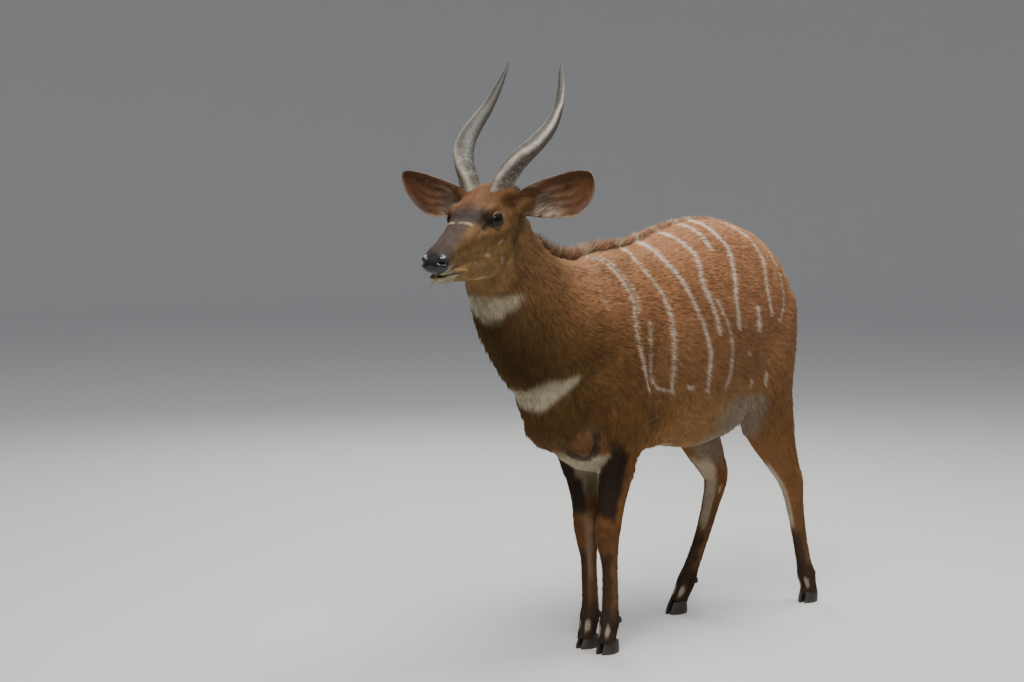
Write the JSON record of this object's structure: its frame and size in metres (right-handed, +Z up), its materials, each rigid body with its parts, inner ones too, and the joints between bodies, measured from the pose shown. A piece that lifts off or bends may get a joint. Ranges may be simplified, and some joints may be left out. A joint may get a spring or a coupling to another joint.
{
  "type": "bongo antelope",
  "caption": "Life-size standing bongo antelope with lyre horns, broad cupped ears, striped flanks, dorsal crest and cloven hooves.",
  "frame": {"origin": "on the floor, under the middle of the object's box", "axes": "-Y is the way the body faces, +X is the animal's left, +Z is up"},
  "size_m": [0.5194, 1.739, 1.6046],
  "materials": {
    "coat": "short chestnut fur with thin white stripes, dark legs and white chest and throat marks",
    "horn": "satin grey-brown horn with a paler keel and tip",
    "hoof": "dull black horn",
    "eye": "wet dark brown"
  },
  "bodies": {
    "root": {"head": "coat", "neck": "coat", "torso": "coat", "tail": "coat", "leg_fore_left": "coat", "leg_fore_right": "coat", "leg_hind_left": "coat", "leg_hind_right": "coat", "ear_left": "coat", "ear_right": "coat", "hoof_fore_left_left": "hoof", "hoof_fore_left_right": "hoof", "hoof_fore_right_left": "hoof", "hoof_fore_right_right": "hoof", "hoof_hind_left_left": "hoof", "hoof_hind_left_right": "hoof", "hoof_hind_right_left": "hoof", "hoof_hind_right_right": "hoof", "horn_left": "horn", "horn_right": "horn", "eye_left": "eye", "eye_right": "eye"}
  },
  "joints": []
}
